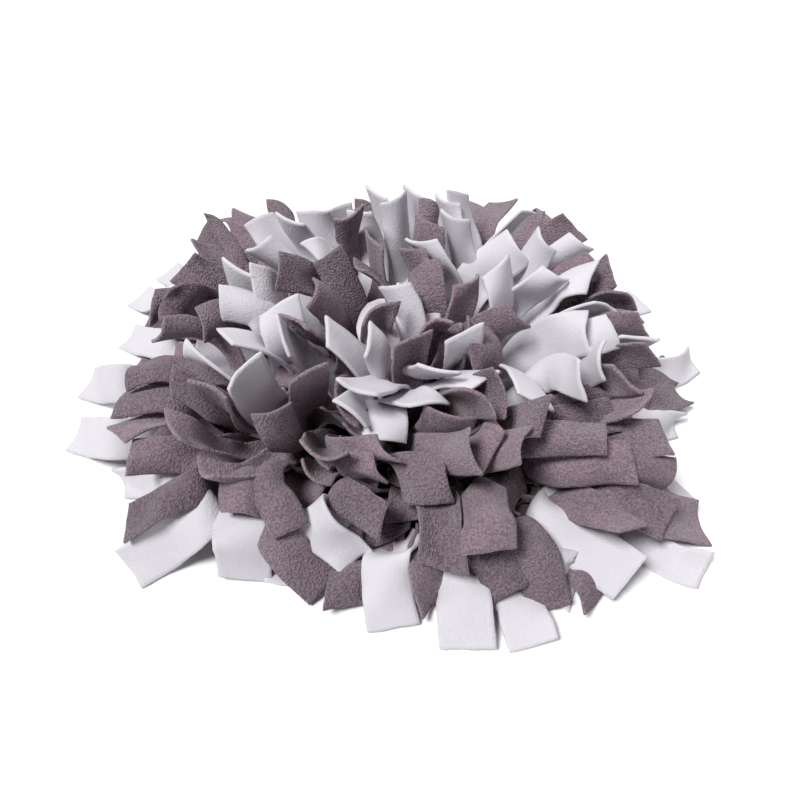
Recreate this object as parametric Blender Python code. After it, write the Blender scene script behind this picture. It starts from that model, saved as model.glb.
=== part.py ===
"""Snuffle mat: fleece strips that stand in rows on a felt base.

The rows are rounded rectangles, one inside the other. Each strip rises from its row's narrow backing band,
leans outwards and bends over the next row, so that the rows lie on each other like petals. Strips near the
centre stand almost upright, and the last row lies on the floor round the base. Rows of one colour make a
white flower, a grey ring, a white ring that is open at the front, a grey rim and a white fringe.

Metres, +Z up. The origin is the centre of the base's underside. +X is to the right, -Y is the front.
"""

import math
import random
from collections import namedtuple

import bpy
import bmesh
from mathutils import Matrix, Vector

MM = 0.001

# The felt base, and every row's path on it, is a rounded rectangle: half its width, and this share of it deep.
BASE_HALF = 125 * MM
BASE_THICK = 3 * MM
DEPTH_SHARE = 0.84
# A path's corner radius as a share of its half depth, at the centre and at the rim.
CORNER_SHARE_CENTRE = 1.0
CORNER_SHARE_RIM = 0.52
CORNER_STEPS = 8

# The backing band that carries a row's strips.
BAND_GAP = 0.3 * MM
BAND_HEIGHT = 3 * MM
BAND_THICK = 3.2 * MM
BAND_TOP = BASE_THICK + BAND_GAP + BAND_HEIGHT

# One strip of fleece.
STRIP_WIDTH = 26 * MM
STRIP_THICK = 2.6 * MM
ROOT_WIDTH = 11 * MM
ROOT_SHARE = 0.6  # of the distance between two strips' roots, where that is less than ROOT_WIDTH
# The share of its length at which a strip has its full width, in the crowded middle and at the rim.
OPENED_BY_MIDDLE = 0.9
OPENED_BY_RIM = 0.4
STRIP_STEPS = (0.2, 0.45, 0.72, 1.0)

# The rows' centre moves towards the front, and their strips with it, from none at the rim to this at the middle.
MIDDLE_SHIFT = -18 * MM
MIDDLE_SHEAR = -0.2

# Lean from upright, in degrees, at a strip's root and at its tip: at the centre, what the rim adds, and how
# late it is added. The pile slopes down at the front. Its shoulder is fuller at the sides, and most at the back,
# where the rows between stay more upright by this much.
ROOT_LEAN = 3
ROOT_LEAN_RIM = 62
TIP_LEAN = 22
TIP_LEAN_RIM = 100
LEAN_POWER = 1.35
SHOULDER_SIDE = 1.2
SHOULDER_BACK = 2.5

# Unevenness. PLAY is how much of it a strip keeps at the rim, where the rows lie close.
PLAY_RIM = 0.15
LEAN_PLAY = 1.6
ROLL_PLAY = 6.0
HEADING_PLAY = 1.0
LENGTH_PLAY = 5 * MM
FRONT_SHORTER = 22 * MM  # what the rim's strips lack in length at the front
CUT_PLAY = 0.25  # how far a tip's cut slants, as a share of the half width
ROLL_WAVE = 28.0
ROLL_WAVES = 3
ROLL_WAVE_SHIFT = 0.35
SEED = 7

# The last row leaves its band over the base's edge and comes down to the floor, where it lies level.
FLOOR_REACH = 72 * MM
FLOOR_LANDING = 44 * MM
FLOOR_HUMP = 6.6
FLOOR_CENTRE = STRIP_THICK / 2

FRONT_FROM = math.radians(-150)
FRONT_TO = math.radians(-30)

WHITE = (0.80, 0.79, 0.82)
GREY = (0.20, 0.155, 0.175)
FELT = (0.13, 0.11, 0.12)

Row = namedtuple("Row", "name half count length colour front_colour")
ROWS = (
    Row("flower_1", 4.5, 3, 84, "white", "white"),
    Row("flower_2", 12.0, 5, 84, "white", "white"),
    Row("flower_3", 19.0, 6, 84, "white", "white"),
    Row("ring_1", 26.0, 8, 84, "grey", "grey"),
    Row("ring_2", 33.0, 10, 84, "grey", "grey"),
    Row("ring_3", 40.0, 11, 84, "grey", "grey"),
    Row("ring_4", 47.5, 12, 84, "white", "grey"),
    Row("ring_5", 55.0, 14, 84, "white", "grey"),
    Row("ring_6", 62.5, 15, 84, "white", "grey"),
    Row("ring_7", 70.5, 17, 84, "white", "grey"),
    Row("rim_1", 79.0, 18, 84, "grey", "grey"),
    Row("rim_2", 89.5, 20, 82, "grey", "grey"),
    Row("rim_3", 100.5, 23, 78, "grey", "grey"),
    Row("rim_4", 111.5, 26, 74, "grey", "grey"),
    Row("fringe", 121.0, 27, 72, "white", "white"),
)
RIM_HALF = ROWS[-1].half * MM
COLOURS = {"white": WHITE, "grey": GREY, "felt": FELT}

Strip = namedtuple("Strip", "root along heading lean_root lean_tip length roll cut root_width opened_by shear on_floor")


def clear_scene():
    for obj in list(bpy.data.objects):
        bpy.data.objects.remove(obj, do_unlink=True)


def fleece(colour):
    name = "fleece_" + colour if colour != "felt" else "felt"
    found = bpy.data.materials.get(name)
    if found:
        return found
    material = bpy.data.materials.new(name)
    material.use_nodes = True
    shader = material.node_tree.nodes["Principled BSDF"]
    shader.inputs["Base Color"].default_value = (*COLOURS[colour], 1)
    shader.inputs["Roughness"].default_value = 0.95
    shader.inputs["Metallic"].default_value = 0
    material.diffuse_color = (*COLOURS[colour], 1)
    return material


def mix(low, high, share):
    return low + (high - low) * share


def rounded_path(half):
    """The straight runs and arcs of a rounded rectangle, anticlockwise from the front right corner's arc end."""
    deep = half * DEPTH_SHARE
    corner = deep * mix(CORNER_SHARE_CENTRE, CORNER_SHARE_RIM, (half / BASE_HALF) ** 2)
    side = 2 * (deep - corner)
    end = 2 * (half - corner)
    middle = Vector((0, MIDDLE_SHIFT * (1 - half / BASE_HALF)))
    runs = []
    for quarter in range(4):
        turn = Matrix.Rotation(quarter * math.pi / 2, 2)
        out, along = (half, side) if quarter % 2 == 0 else (deep, end)
        start = middle + turn @ Vector((out, -along / 2))
        centre = middle + turn @ Vector((out - corner, along / 2))
        runs.append(("straight", along, start, quarter * math.pi / 2))
        runs.append(("arc", corner * math.pi / 2, centre, quarter * math.pi / 2))
    return runs, corner


def on_path(half, share):
    """The point and the outward direction at a share of the way round a row's path."""
    runs, corner = rounded_path(half)
    left = (share % 1.0) * sum(length for _, length, _, _ in runs)
    for kind, length, place, angle in runs:
        if left <= length:
            break
        left -= length
    if kind == "straight":
        out = Vector((math.cos(angle), math.sin(angle)))
        return place + Vector((-out.y, out.x)) * left, out
    angle += left / corner
    out = Vector((math.cos(angle), math.sin(angle)))
    return place + out * corner, out


def path_length(half):
    return sum(length for _, length, _, _ in rounded_path(half)[0])


def lean_share(share_out, back):
    """How much of the rim's lean a row has, on a side that faces back by this much: 1 behind, -1 in front."""
    shoulder = mix(SHOULDER_SIDE, SHOULDER_BACK if back > 0 else 0.0, abs(back))
    return share_out**LEAN_POWER - shoulder * share_out**3 * (1 - share_out)


def row_strips(number, row):
    """Every strip of a row, with its place and its own unevenness."""
    dice = random.Random(SEED * 100 + number)
    half = row.half * MM
    share_out = half / RIM_HALF
    play = mix(1.0, PLAY_RIM, share_out)
    root_width = min(ROOT_WIDTH, ROOT_SHARE * path_length(half) / row.count)
    strips = []
    for i in range(row.count):
        point, out = on_path(half, (i + 0.5 * (number % 2)) / row.count)
        azimuth = math.atan2(point.y, point.x)
        heading = math.atan2(out.y, out.x)
        late = lean_share(share_out, out.y)
        shorter = FRONT_SHORTER * max(0.0, -out.y) * share_out
        lean = play * dice.uniform(-LEAN_PLAY, LEAN_PLAY)
        wave = ROLL_WAVE * share_out * (1 - share_out**2)
        wave *= math.sin(ROLL_WAVES * azimuth + ROLL_WAVE_SHIFT * number)
        strips.append(
            Strip(
                root=point,
                along=Vector((-out.y, out.x)),
                heading=heading + math.radians(dice.uniform(-HEADING_PLAY, HEADING_PLAY)),
                lean_root=math.radians(ROOT_LEAN + ROOT_LEAN_RIM * late),
                lean_tip=math.radians(TIP_LEAN + TIP_LEAN_RIM * late + lean),
                length=row.length * MM - shorter + dice.uniform(-LENGTH_PLAY, LENGTH_PLAY),
                roll=math.radians(wave + play * dice.uniform(-ROLL_PLAY, ROLL_PLAY)),
                cut=dice.uniform(-CUT_PLAY, CUT_PLAY),
                root_width=root_width,
                opened_by=mix(OPENED_BY_MIDDLE, OPENED_BY_RIM, share_out),
                shear=MIDDLE_SHEAR * (1 - share_out),
                on_floor=row is ROWS[-1],
            )
        )
    return strips


def arc_place(strip, share):
    """Distance out, height and lean of a strip that leans further and further out along an arc."""
    bend = strip.lean_tip - strip.lean_root
    radius = strip.length / bend
    lean = strip.lean_root + bend * share
    out = radius * (math.cos(strip.lean_root) - math.cos(lean))
    up = radius * (math.sin(lean) - math.sin(strip.lean_root))
    return out, BAND_TOP + up, lean


def floor_place(strip, share):
    """Distance out, height and lean of a strip that comes down to the floor and lies level on it."""
    reach = FLOOR_REACH + strip.length - ROWS[-1].length * MM
    out = reach * share
    left = max(0.0, 1 - out / FLOOR_LANDING)
    drop = BAND_TOP - FLOOR_CENTRE
    up = FLOOR_CENTRE + drop * left**2 * (1 + FLOOR_HUMP * (1 - left))
    slope = drop / FLOOR_LANDING * left * (FLOOR_HUMP * left - 2 * (1 + FLOOR_HUMP * (1 - left)))
    return out, up, math.pi / 2 - math.atan(slope)


def strip_section(strip, share):
    """The centre, width direction and outer-face direction of a strip at a share of its length."""
    out, up, lean = (floor_place if strip.on_floor else arc_place)(strip, share)
    heading = Vector((math.cos(strip.heading), math.sin(strip.heading), 0))
    centre = strip.root.to_3d() + heading * out + Vector((0, strip.shear * (up - BAND_TOP), up))
    run = heading * math.sin(lean) + Vector((0, 0, math.cos(lean)))
    width = Vector((-heading.y, heading.x, 0))
    opened = min(1.0, share / strip.opened_by)
    roll = 0.0 if strip.on_floor else strip.roll * opened
    width = Matrix.Rotation(roll, 3, run) @ width
    half_width = mix(strip.root_width, STRIP_WIDTH, opened * opened * (3 - 2 * opened)) / 2
    return centre, run, width * half_width, width.cross(run) * STRIP_THICK / 2


def band_section(bm, strip, end):
    """The band's four corners at one end of a strip's root: inner bottom, outer bottom, outer top, inner top."""
    across = strip.along.to_3d() * strip.root_width / 2 * end
    out = Vector((strip.along.y, -strip.along.x, 0)) * BAND_THICK / 2
    low = Vector((0, 0, BASE_THICK + BAND_GAP))
    high = Vector((0, 0, BAND_TOP))
    root = strip.root.to_3d() + across
    corners = (root - out + low, root + out + low, root + out + high, root - out + high)
    return [bm.verts.new(corner) for corner in corners]


def join_sections(bm, first, second):
    """The four faces between two neighbouring band sections. The third is the top one."""
    faces = []
    for i in range(4):
        j = (i + 1) % 4
        faces.append(bm.faces.new((first[i], first[j], second[j], second[i])))
    return faces


def grow_strip(bm, root_face, strip):
    """Extrudes a strip, section by section, out of its root on top of the band."""
    face = root_face
    for share in STRIP_STEPS:
        face = bmesh.ops.extrude_discrete_faces(bm, faces=[face])["faces"][0]
        centre, run, width, outer = strip_section(strip, share)
        slant = run * strip.cut * STRIP_WIDTH / 2 if share == 1.0 else Vector()
        # The root face runs from its outer to its inner corner at the first end, then back at the second.
        signs = ((-1, 1), (-1, -1), (1, -1), (1, 1))
        for vert, (side, out) in zip(face.verts, signs):
            vert.co = centre + (width + slant) * side + outer * out


def add_row(name, strips, closed, colour):
    """A row's band and strips as one closed body."""
    bm = bmesh.new()
    sections = [(band_section(bm, strip, -1), band_section(bm, strip, 1)) for strip in strips]
    for i, strip in enumerate(strips):
        first, second = sections[i]
        grow_strip(bm, join_sections(bm, first, second)[2], strip)
        if closed or i + 1 < len(strips):
            join_sections(bm, second, sections[(i + 1) % len(strips)][0])
    if not closed:
        bm.faces.new(sections[0][0])
        bm.faces.new(sections[-1][1])
    bmesh.ops.recalc_face_normals(bm, faces=bm.faces)
    return add_object(name, bm, colour)


def add_object(name, bm, colour):
    mesh = bpy.data.meshes.new(name)
    bm.to_mesh(mesh)
    bm.free()
    mesh.materials.append(fleece(colour))
    obj = bpy.data.objects.new(name, mesh)
    bpy.context.scene.collection.objects.link(obj)
    return obj


def add_base():
    """The felt that the bands are sewn to: a rounded rectangle, extruded to its thickness."""
    bm = bmesh.new()
    runs, corner = rounded_path(BASE_HALF)
    corners = []
    for kind, _, centre, angle in runs:
        for step in range(CORNER_STEPS + 1 if kind == "arc" else 0):
            turned = angle + step / CORNER_STEPS * math.pi / 2
            out = Vector((math.cos(turned), math.sin(turned)))
            corners.append(bm.verts.new((centre + out * corner).to_3d()))
    bm.faces.new(corners)
    extruded = bmesh.ops.extrude_face_region(bm, geom=list(bm.faces))["geom"]
    top = [item for item in extruded if isinstance(item, bmesh.types.BMVert)]
    bmesh.ops.translate(bm, verts=top, vec=(0, 0, BASE_THICK))
    bmesh.ops.recalc_face_normals(bm, faces=bm.faces)
    return add_object("base", bm, "felt")


def in_front(strip):
    return FRONT_FROM < math.atan2(strip.root.y, strip.root.x) < FRONT_TO


def add_rows():
    for number, row in enumerate(ROWS):
        strips = row_strips(number, row)
        if row.colour == row.front_colour:
            add_row(row.name, strips, True, row.colour)
            continue
        # The path starts at the right, so the front strips are one run and the others wrap round its end.
        first = next(i for i, strip in enumerate(strips) if in_front(strip))
        front = [strip for strip in strips if in_front(strip)]
        others = strips[first + len(front) :] + strips[:first]
        add_row(row.name + "_front", front, False, row.front_colour)
        add_row(row.name, others, False, row.colour)


def main():
    clear_scene()
    add_base()
    add_rows()


main()
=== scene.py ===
"""The snuffle mat as it looks: every row's strips as soft fleece tails that lie on each other.

Each node of strips in the frame has one piece here. The strips start on the same paths as the frame's
solids, narrow and clear of each other. They then open to their full width while a small cloth solver keeps
them apart, bends and curls them, and lays them on one another. Last, each gets its thickness, soft edges
and nap.
"""

import math
import random
from collections import namedtuple

import bpy
import numpy as np
from mathutils import Euler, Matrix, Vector


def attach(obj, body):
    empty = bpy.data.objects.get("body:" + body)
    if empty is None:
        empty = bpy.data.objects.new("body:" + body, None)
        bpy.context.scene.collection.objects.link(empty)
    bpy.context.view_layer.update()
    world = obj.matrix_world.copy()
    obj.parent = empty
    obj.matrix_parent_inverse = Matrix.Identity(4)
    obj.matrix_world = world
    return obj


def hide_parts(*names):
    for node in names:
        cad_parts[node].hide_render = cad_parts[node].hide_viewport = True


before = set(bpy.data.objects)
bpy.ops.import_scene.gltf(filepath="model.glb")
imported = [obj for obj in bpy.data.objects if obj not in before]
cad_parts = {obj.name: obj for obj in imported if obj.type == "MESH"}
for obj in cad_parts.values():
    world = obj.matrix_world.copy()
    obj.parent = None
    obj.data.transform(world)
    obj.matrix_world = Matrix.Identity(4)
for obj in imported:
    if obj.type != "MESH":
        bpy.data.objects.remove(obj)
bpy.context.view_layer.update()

MM = 0.001

# ---- the frame's own sizes, as in the CAD source

BASE_HALF = 125 * MM
DEPTH_SHARE = 0.84
CORNER_SHARE_CENTRE = 1.0
CORNER_SHARE_RIM = 0.52
BAND_THICK = 3.2 * MM
BAND_FOOT = 3.3 * MM
BAND_TOP = 6.3 * MM
BAND_STEPS = 4  # of the band's tube for each strip
STRIP_WIDTH = 26 * MM
STRIP_THICK = 2.6 * MM
MIDDLE_SHIFT = -18 * MM
MIDDLE_SHEAR = -0.2
ROOT_LEAN = 3
ROOT_LEAN_RIM = 62
TIP_LEAN = 22
TIP_LEAN_RIM = 100
LEAN_POWER = 1.35
SHOULDER_SIDE = 1.2
SHOULDER_BACK = 2.5
FRONT_SHORTER = 22 * MM
FLOOR_REACH = 72 * MM
FLOOR_LANDING = 44 * MM
FLOOR_HUMP = 6.6
FLOOR_CENTRE = STRIP_THICK / 2
FRONT_FROM = math.radians(-150)
FRONT_TO = math.radians(-30)

# Half of each row's path from side to side, its number of strips and their length, in millimetres.
Row = namedtuple("Row", "name half count length colour front_colour")
ROWS = (
    Row("flower_1", 4.5, 3, 84, "white", "white"),
    Row("flower_2", 12.0, 5, 84, "white", "white"),
    Row("flower_3", 19.0, 6, 84, "white", "white"),
    Row("ring_1", 26.0, 8, 84, "grey", "grey"),
    Row("ring_2", 33.0, 10, 84, "grey", "grey"),
    Row("ring_3", 40.0, 11, 84, "grey", "grey"),
    Row("ring_4", 47.5, 12, 84, "white", "grey"),
    Row("ring_5", 55.0, 14, 84, "white", "grey"),
    Row("ring_6", 62.5, 15, 84, "white", "grey"),
    Row("ring_7", 70.5, 17, 84, "white", "grey"),
    Row("rim_1", 79.0, 18, 84, "grey", "grey"),
    Row("rim_2", 89.5, 20, 82, "grey", "grey"),
    Row("rim_3", 100.5, 23, 78, "grey", "grey"),
    Row("rim_4", 111.5, 26, 74, "grey", "grey"),
    Row("fringe", 121.0, 27, 72, "white", "white"),
)
RIM_HALF = ROWS[-1].half * MM

# ---- the tails that the camera sees

# Where each of them shows, in pixels of the 800 by 800 frame: the two corners of its cut end, and a point on
# its middle lower down. hollow is how far its cross-section curls, as half its angle in degrees: above nought
# the camera sees into it, below nought it bulges towards the camera. A tail with no height lies on the dome.
Tail = namedtuple("Tail", "colour corner other low hollow height", defaults=(None, None))
FLOOR = 2.0 * MM
WHITE_FRINGE = (  # on the floor, from the left side round the front to the right
    ((83, 418), (73, 455), (125, 437), 0, FLOOR),
    ((95, 367), (86, 402), (130, 385), 0, FLOOR),
    ((134, 325), (126, 353), (190, 343), 0, FLOOR),
    ((143, 288), (138, 309), (180, 298), 0, FLOOR),
    ((172, 265), (168, 280), (195, 272), 0, FLOOR),
    ((122, 471), (126, 498), (195, 474), 10, FLOOR),
    ((115, 552), (148, 587), (225, 495), 0, FLOOR),
    ((220, 575), (275, 581), (240, 520), -10, FLOOR),
    ((343, 571), (372, 551), (305, 510), 75, 14 * MM),
    ((368, 631), (419, 624), (385, 540), 0, FLOOR),
    ((440, 647), (496, 650), (462, 575), 0, FLOOR),
    ((510, 653), (559, 638), (520, 600), 0, FLOOR),
    ((583, 580), (560, 600), (550, 560), 0, FLOOR),
    ((652, 559), (612, 598), (535, 490), 0, 14 * MM),
    ((690, 585), (718, 557), (655, 560), 0, FLOOR),
    ((680, 410), (666, 440), (640, 425), 0, FLOOR),
    ((676, 474), (682, 497), (650, 485), 0, FLOOR),
    ((690, 350), (693, 373), (665, 375), 0, FLOOR),
)
GREY_RIM = (
    # Across the front.
    ((127, 390), (111, 417), (178, 398)),
    ((108, 428), (125, 441), (180, 420)),
    ((132, 442), (126, 470), (190, 455)),
    ((178, 415), (168, 433), (235, 455)),
    ((133, 503), (124, 541), (205, 482), 10),
    ((193, 459), (212, 478), (240, 478)),
    ((222, 506), (262, 520), (240, 478), -35),
    ((273, 535), (308, 520), (265, 470), -50),
    ((308, 603), (341, 571), (272, 520), 0, 6 * MM),
    ((388, 507), (377, 541), (335, 485), -30),
    ((325, 603), (362, 608), (350, 575), 0, 5 * MM),
    ((440, 454), (455, 505), (400, 478), 60),
    ((424, 558), (463, 580), (440, 500), 55),
    ((463, 552), (517, 542), (480, 482), -35),
    ((526, 614), (570, 597), (517, 530), -12, 3 * MM),
    ((490, 602), (531, 583), (487, 545), 35),
    ((418, 608), (450, 600), (425, 560), 0, 4 * MM),
    ((582, 611), (607, 595), (583, 575), 0, 4 * MM),
    # At the right.
    ((626, 441), (638, 480), (530, 468)),
    ((606, 423), (607, 451), (540, 440)),
    ((676, 460), (662, 492), (620, 462)),
    ((682, 505), (657, 536), (600, 490)),
    ((642, 522), (630, 537), (560, 495)),
    ((692, 500), (702, 545), (650, 510)),
    ((656, 420), (675, 453), (622, 440)),
    ((611, 401), (622, 428), (570, 420)),
    ((600, 385), (612, 402), (555, 405)),
    ((642, 395), (645, 412), (605, 410)),
    ((672, 382), (683, 405), (640, 405)),
    ((668, 355), (683, 376), (645, 380), 20),
    ((625, 367), (628, 395), (585, 383)),
    ((650, 345), (655, 366), (600, 355)),
    ((638, 317), (649, 338), (605, 325), -20),
    # At the back, from right to left, and down the left side.
    ((625, 292), (637, 308), (605, 298)),
    ((603, 257), (618, 283), (590, 290), -10),
    ((588, 252), (602, 278), (572, 272)),
    ((562, 217), (588, 238), (552, 240)),
    ((538, 200), (556, 214), (545, 232), -20),
    ((495, 198), (510, 207), (482, 230)),
    ((470, 190), (488, 191), (478, 222)),
    ((520, 218), (538, 217), (524, 238)),
    ((424, 198), (440, 209), (430, 226), -15),
    ((414, 223), (441, 226), (430, 255)),
    ((270, 203), (292, 207), (285, 225)),
    ((236, 205), (252, 209), (250, 232)),
    ((226, 217), (246, 212), (258, 255)),
    ((208, 222), (226, 221), (245, 262)),
    ((196, 240), (211, 221), (228, 265)),
    ((196, 248), (214, 240), (235, 285)),
    ((171, 280), (195, 256), (215, 290)),
    ((160, 296), (143, 322), (185, 300)),
    ((166, 294), (166, 320), (210, 300)),
    ((195, 310), (206, 344), (240, 310)),
    ((160, 322), (160, 344), (205, 330)),
    ((130, 366), (125, 385), (170, 370)),
    ((169, 368), (172, 396), (215, 405)),
    ((197, 388), (226, 386), (240, 422)),
)
WHITE_RING = (  # from the left round the back to the right
    ((228, 391), (257, 350), (262, 405)),
    ((181, 346), (190, 357), (235, 378)),
    ((262, 319), (296, 291), (285, 338), -12),
    ((216, 325), (232, 345), (262, 345)),
    ((252, 260), (277, 276), (272, 305)),
    ((226, 271), (250, 265), (250, 300)),
    ((219, 287), (221, 322), (262, 312)),
    ((249, 254), (264, 238), (300, 275)),
    ((243, 222), (272, 213), (292, 265)),
    ((281, 223), (295, 217), (318, 265)),
    ((297, 214), (326, 208), (335, 268)),
    ((305, 240), (322, 237), (335, 268)),
    ((327, 203), (350, 198), (345, 250)),
    ((346, 205), (366, 200), (375, 262)),
    ((367, 190), (385, 192), (385, 240)),
    ((383, 200), (406, 196), (400, 285), -15),
    ((404, 187), (424, 192), (420, 240)),
    ((448, 183), (468, 185), (472, 290)),
    ((442, 218), (463, 217), (465, 285)),
    ((436, 194), (455, 197), (450, 228)),
    ((526, 203), (541, 213), (480, 262)),
    ((505, 231), (533, 266), (478, 275)),
    ((533, 230), (553, 250), (528, 272)),
    ((576, 232), (593, 248), (540, 272)),
    ((585, 267), (592, 286), (560, 290)),
    ((551, 269), (564, 287), (528, 292)),
    ((484, 272), (512, 262), (500, 320)),
    ((583, 309), (587, 358), (545, 342)),
    ((607, 314), (621, 347), (588, 338)),
    ((551, 406), (522, 402), (515, 368), -8),
    ((582, 368), (572, 398), (552, 370), -8),
    ((592, 352), (606, 366), (585, 372)),
    ((600, 300), (613, 313), (570, 318)),
    ((632, 334), (648, 343), (618, 350)),
)
GREY_RING = (  # round the flower
    ((290, 383), (327, 359), (318, 432), 15),
    ((334, 383), (357, 432), (352, 395), 60),
    ((315, 264), (343, 245), (355, 312)),
    ((283, 257), (275, 291), (318, 282)),
    ((305, 304), (322, 281), (337, 316)),
    ((355, 262), (360, 270), (388, 290)),
    ((363, 318), (394, 305), (375, 335), 80),
    ((339, 216), (363, 212), (350, 250)),
    ((366, 240), (378, 238), (382, 280)),
    ((400, 250), (420, 247), (425, 285)),
    ((408, 270), (438, 258), (430, 305), 40),
    ((460, 282), (482, 283), (455, 318)),
    ((427, 325), (443, 325), (425, 345), 75),
    ((448, 325), (468, 325), (455, 345), 70),
    ((514, 307), (527, 330), (482, 330), -30),
    ((464, 328), (480, 322), (488, 355)),
    ((395, 340), (430, 338), (405, 380)),
    ((287, 322), (302, 322), (330, 345)),
    ((495, 365), (506, 420), (478, 398), 45),
    ((466, 387), (500, 412), (445, 410), 50),
    ((540, 400), (545, 430), (510, 425), 30),
    ((466, 431), (480, 478), (405, 452)),
    ((498, 431), (480, 478), (470, 428)),
    ((517, 428), (525, 462), (485, 455)),
    ((250, 421), (292, 405), (297, 448), -15),
    ((302, 452), (345, 462), (325, 440), 80),
    ((385, 442), (392, 461), (330, 452)),
    ((375, 455), (380, 481), (342, 465)),
    ((425, 405), (475, 425), (440, 435), -20),
)
WHITE_FLOWER = (  # its petals, and three white tails behind and beside them
    ((325, 342), (331, 318), (375, 382)),
    ((365, 350), (379, 327), (387, 382), 15),
    ((448, 338), (478, 338), (455, 375), 40),
    ((431, 366), (449, 376), (400, 387)),
    ((494, 371), (480, 391), (455, 378), -15),
    ((352, 384), (359, 393), (400, 388)),
    ((433, 396), (424, 407), (388, 398)),
    ((345, 398), (360, 425), (375, 400)),
    ((362, 437), (410, 441), (382, 408), -10),
    ((380, 286), (405, 287), (412, 320), -15),
    ((409, 242), (425, 240), (458, 290), -10),
    ((282, 350), (285, 328), (300, 350)),
)
TAIL_GROUPS = (
    ("white", WHITE_FRINGE),
    ("grey", GREY_RIM),
    ("white", WHITE_RING),
    ("grey", GREY_RING),
    ("white", WHITE_FLOWER),
)
TAILS = [Tail(colour, *places) for colour, group in TAIL_GROUPS for places in group]

# ---- the look's own sizes

PILE_SHEAR = -0.4  # how far the middle of the pile leans towards the front, for each metre of height

# Unevenness of the strips, in degrees and metres.
SEED = 11
LEAN_PLAY = 9
TIP_PLAY = 16
ROLL_PLAY = 38
LYING_ROLL = 0.35  # the share of it that strips on the floor have
ROLL_BY = 0.7  # the share of the length at which a strip has rolled over
HEADING_PLAY = 11
LENGTH_PLAY = 6 * MM
CUT_PLAY = 0.28  # how far the cut ends slant, as a share of the width
MOST_SLANT = 0.28  # the most of it that a tail has that the camera sees
CUT_WIDTH = (0.78, 1.04)  # how wide the strips are cut, as a share of the usual width
# Half the angle that a strip's cross-section curls round: gathered at its root, flatter at its tip.
ROOT_CURL = (60, 95)
TIP_CURL_MIDDLE = (15, 60)
TIP_CURL_RIM = (4, 26)
CURL_BY = 0.65  # the share of the length at which it has opened
CURL_OUT_SHARE = 0.25  # of the strips curl the other way
LEAST_BEND = 1e-3  # radians, so that a straight strip can be worked out as an arc

# The same for the tails that the camera sees: at the root, and at the tip by colour, where the tail's own
# entry doesn't say. A tail has opened at a share of its length that goes by its colour or by its lying down.
SEEN_ROOT_CURL = 110
USUAL_HOLLOW = {"white": (3, 20), "grey": (20, 62)}
HOLLOW_SHARE = 0.7  # of the tails without an entry show their hollow side
OPENED_BY = {"white": 0.75, "grey": 0.95}
OPENED_BY_LYING = 0.45
SEEN_ROLL = 16
SEEN_TILT = (0 * MM, 13 * MM)  # how far a tail's tip stands out from the dome and its low point lies under it
FRONT_TILT = 1.6  # how much more it is in front
CUT_SQUARED = 0.6  # how much of its slant a cut end loses
ACROSS_BY = 0.8  # the share of the length at which a tail lies the way that its cut end does

# The dome that the tails' ends make: its middle, reaches, height, forward slope, and how square its outline
# and its shoulders are.
DOME_MIDDLE = np.array((2, -18)) * MM
DOME_SIDE = 176 * MM
DOME_FRONT = 137 * MM
DOME_BACK = 160 * MM
DOME_HEIGHT = 86 * MM
DOME_SLOPE = 0.12
DOME_ROUND = 2.6
DOME_SHOULDER = 6.0
DOME_SHOULDER_FRONT = 2.0
BACK_HEIGHT = 52 * MM  # the least height of the tails' ends at the back, past twice BACK_FROM
BACK_FROM = 60 * MM
RAY_PLACES = np.arange(0.2, 0.7, 0.002)  # metres from the camera at which a ray is held against the dome
USUAL_LENGTH = 84 * MM
LENGTH_RANGE = (0.72, 1.16)
LONGEST = USUAL_LENGTH * LENGTH_RANGE[1]
MOST_REACH = 0.96  # of the longest strip, from its root to the middle of its cut end
LOW_REACH = 0.97  # the same by way of its low point
LOW_SINKS = np.arange(4, 90, 3) * MM  # how far under the dome's surface a tail's low point may be
CURVE_POINTS = 30  # on each half of a tail's curve, before they are spaced evenly

# How much further off a strip counts whose level or colour is another than the tail's.
OTHER_LEVEL = 150 * MM
OTHER_COLOUR = 1.0
LEAST_GAIN = 1e-12
# What a strip that the camera doesn't see keeps of its length: at the back and in front, and in the fringe
# in front.
HIDDEN_SHARE = (1.0, 0.55)
HIDDEN_FRINGE = 0.65
# How far under the dome such strips stay, but for those at the back, and the others below where they show.
TUCK = 26 * MM
TUCK_SEEN = 8 * MM
NO_TUCK = -60 * MM
TUCK_BELOW = 0.05  # of a tail's length, from where it shows to where the tuck starts
TUCK_OVER = 0.3  # of its length, in which the tuck grows
TUCK_SHARE = 0.3  # of the height too much is taken away at a time
LOW_TAILS = 7 * MM  # the height that every strip may have
# Where these change from front to back, with a strip that faces back by 1 behind and by -1 in front.
HIDDEN_TURN = 0.5
FRINGE_TURN = (1.3, 0.1)
TUCK_TURN = 1.4

# The tails' order in the view: cells of so many pixels a side, how far behind the tail that shows the others
# stay, and the points of each tail that are looked up, less those at its edges.
PHOTO_SIDE = 800
CELL = 2
CELLS = PHOTO_SIDE // CELL
BEHIND = 4 * MM
VIEW_ALONG = 80
VIEW_ACROSS = 40
VIEW_EDGE = 4

# The cloth solver's grid: points along and across each strip.
ALONG = 15
ACROSS = 5
PINNED = 2  # rows of points that the band holds
STEPS = 165
OPEN_STEPS = 100
LAST_STEPS = 145
PASSES = 2  # over the links and the pushes in one step
NARROW = 0.3  # the width the strips start with, as a share
APART = 5.2 * MM  # between the points of different strips
LIST_REACH = 8.0 * MM  # pairs of points nearer than this are listed anew every so many steps
LIST_EVERY = 4
MOST_PUSH = 1.2 * MM
SINK = 0.10 * MM  # gravity's pull in one step
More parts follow.
